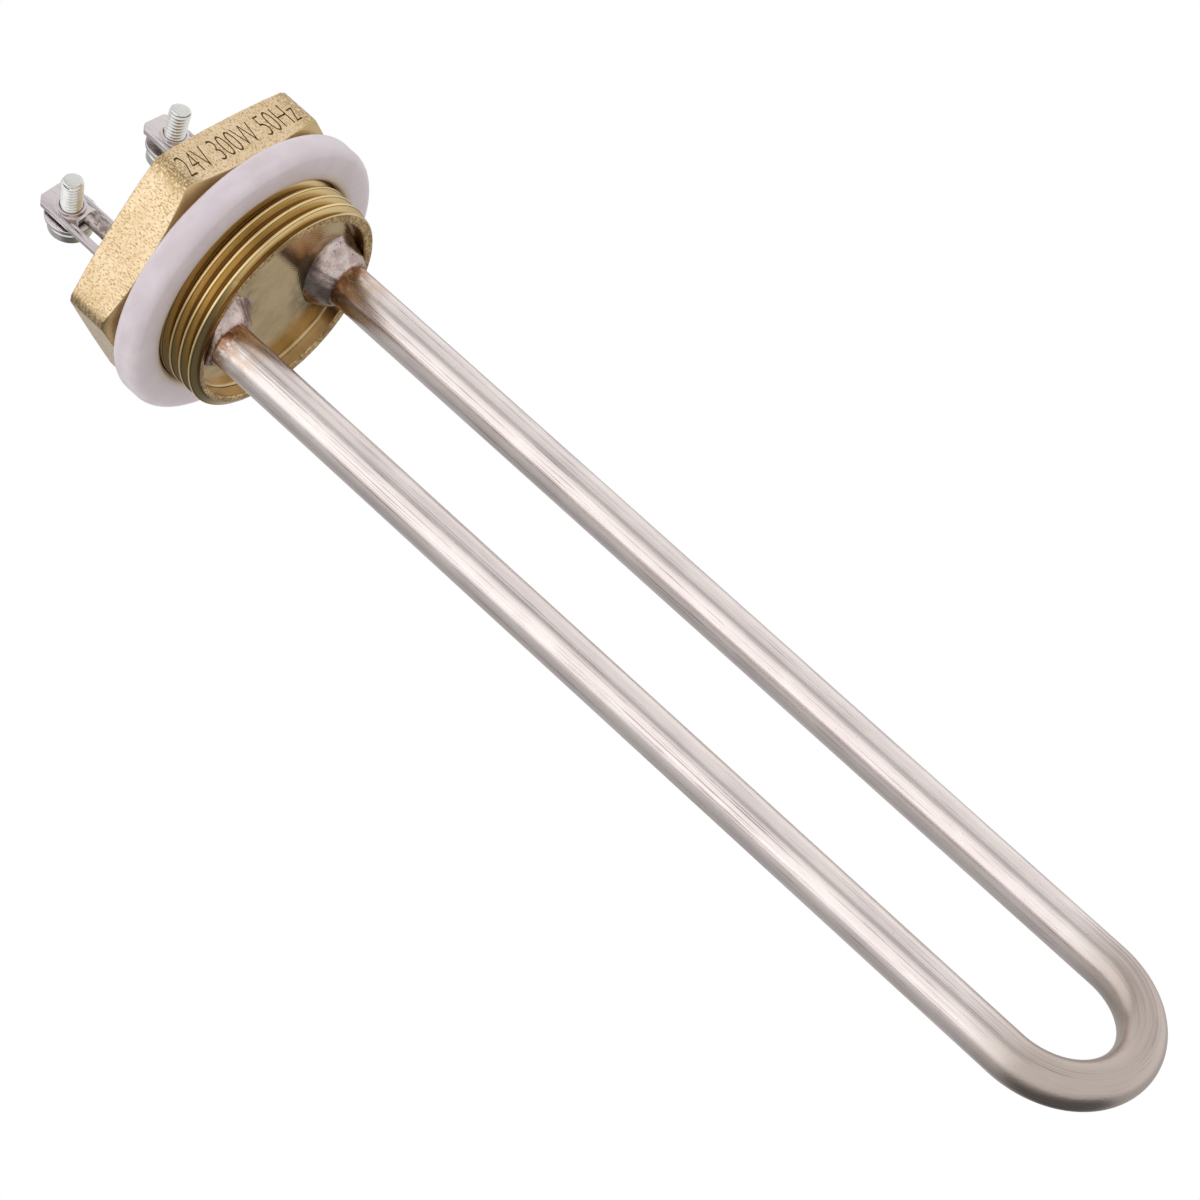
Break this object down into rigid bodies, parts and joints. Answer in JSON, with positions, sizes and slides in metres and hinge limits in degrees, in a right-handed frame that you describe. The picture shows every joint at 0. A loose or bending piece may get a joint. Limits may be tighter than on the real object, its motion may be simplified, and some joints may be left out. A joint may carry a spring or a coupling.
{
  "type": "screw plug immersion heater",
  "caption": "Hexagonal brass screw plug with a pipe thread and a soft sealing gasket, carrying a long U-bent sheathed heating element and two screw terminals.",
  "frame": {"origin": "centre of the plug's sealing face, on the axis of its thread", "axes": "+Z along the plug's axis, from the wet end to the terminals; the two legs of the element lie in the XZ plane, with terminal 1 at -X"},
  "size_m": [0.056, 0.0554, 0.2408],
  "materials": {
    "plug": "turned and milled brass, dull from handling",
    "gasket": "pale translucent moulded silicone",
    "sheath": "drawn stainless tube, satin, heat tinted at the braze",
    "powder": "compacted magnesia powder",
    "coil": "wound resistance wire",
    "pin": "drawn steel rod with a welded end",
    "seal": "cast silicone",
    "bush": "fired steatite",
    "braze": "silver braze, as flowed",
    "tab": "punched strip",
    "washer": "zinc plated",
    "screw": "bright zinc plated"
  },
  "bodies": {
    "root": {"brass_plug": "plug", "sealing_gasket": "gasket", "sheath_tube": "sheath", "magnesia_fill": "powder", "heating_coil": "coil", "cold_pin_1": "pin", "cold_pin_2": "pin", "end_seal_1": "seal", "end_seal_2": "seal", "end_bush_1": "bush", "end_bush_2": "bush", "braze_fillet_1": "braze", "braze_fillet_2": "braze", "terminal_tab_1": "tab", "terminal_tab_2": "tab"},
    "washers_1": {"clamp_washer_1": "washer", "spring_washer_1": "washer"},
    "screw_1": {"terminal_screw_1": "screw"},
    "washers_2": {"clamp_washer_2": "washer", "spring_washer_2": "washer"},
    "screw_2": {"terminal_screw_2": "screw"}
  },
  "joints": [
    {"name": "washers_1_slide", "type": "slide", "parent": "root", "child": "washers_1", "axis": [0.225, 0.9744, 0], "range_m": [-0.00045, 0.00525]},
    {"name": "screw_1_turn", "type": "hinge", "parent": "washers_1", "child": "screw_1", "pos_m": [-0.0147, 0.00161, 0.0247], "axis": [0.225, 0.9744, 0], "range_deg": [-235, 2705]},
    {"name": "washers_2_slide", "type": "slide", "parent": "root", "child": "washers_2", "axis": [0.0349, 0.9994, 0], "range_m": [-0.00095, 0.00525]},
    {"name": "screw_2_turn", "type": "hinge", "parent": "washers_2", "child": "screw_2", "pos_m": [0.0138, 0.00152, 0.0293], "axis": [0.0349, 0.9994, 0], "range_deg": [-492, 2705]}
  ],
  "couplings": [
    {"joint": "screw_1_turn", "follows": "washers_1_slide", "rad_per_m": 8976},
    {"joint": "screw_2_turn", "follows": "washers_2_slide", "rad_per_m": 8976}
  ]
}
